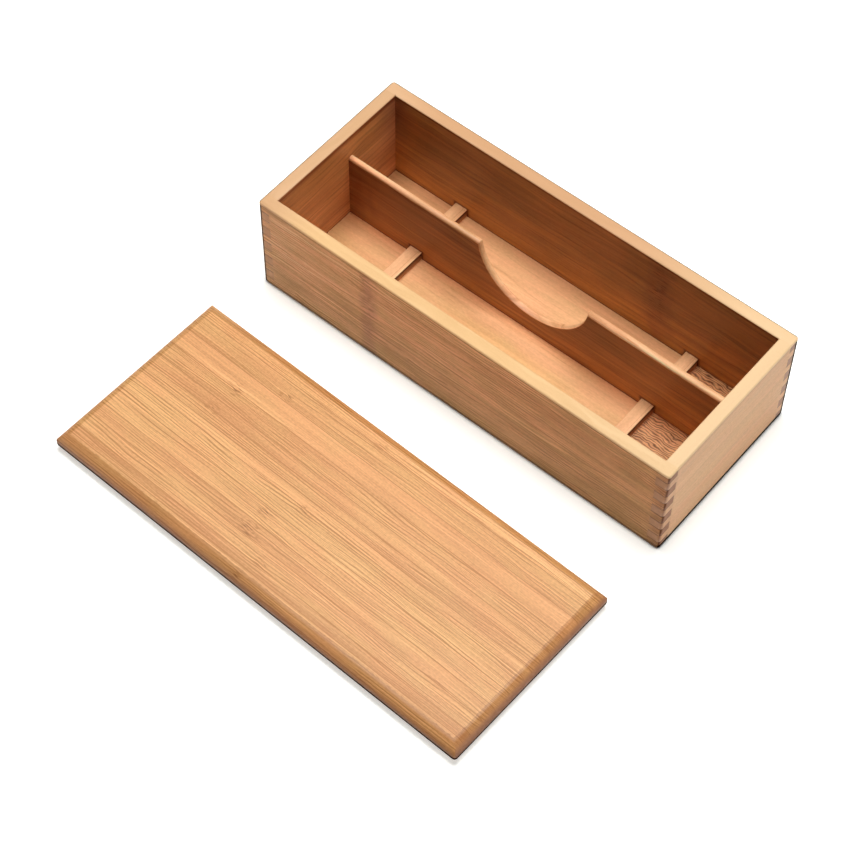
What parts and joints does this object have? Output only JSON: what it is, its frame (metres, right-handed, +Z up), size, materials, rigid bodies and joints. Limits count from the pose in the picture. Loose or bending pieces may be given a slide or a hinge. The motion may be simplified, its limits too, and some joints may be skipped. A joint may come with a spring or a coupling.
{
  "type": "chopstick box",
  "caption": "Finger-jointed bamboo chopstick box with an off-centre scooped divider, cross rests and a separate lift-off lid, shown open with the lid lying in front.",
  "frame": {"origin": "the middle of the box's footprint, on the surface that the box stands on", "axes": "+X along the box's length, +Y from the front wall (lid side) to the back wall, +Z up"},
  "size_m": [0.28, 0.2713, 0.068],
  "materials": {
    "bamboo_long_wall": "carbonised bamboo strip, lengthwise grain, thin satin lacquer",
    "bamboo_end_wall": "carbonised bamboo strip, crosswise grain, thin satin lacquer",
    "bamboo_floor": "light bamboo panel, lengthwise grain, matt",
    "bamboo_divider": "thin bamboo board, lengthwise grain, matt",
    "bamboo_rest": "bamboo batten, matt",
    "bamboo_lid": "laminated bamboo strips, lengthwise grain, thin satin lacquer"
  },
  "bodies": {
    "box": {"front_wall": "bamboo_long_wall", "back_wall": "bamboo_long_wall", "left_end_wall": "bamboo_end_wall", "right_end_wall": "bamboo_end_wall", "floor_panel": "bamboo_floor", "divider": "bamboo_divider", "left_rest": "bamboo_rest", "right_rest": "bamboo_rest"},
    "lid": {"lid": "bamboo_lid"}
  },
  "joints": [
    {"name": "lid_lift", "type": "slide", "parent": "box", "child": "lid", "axis": [0, 0, 1], "range_m": [0, 0.1]}
  ]
}
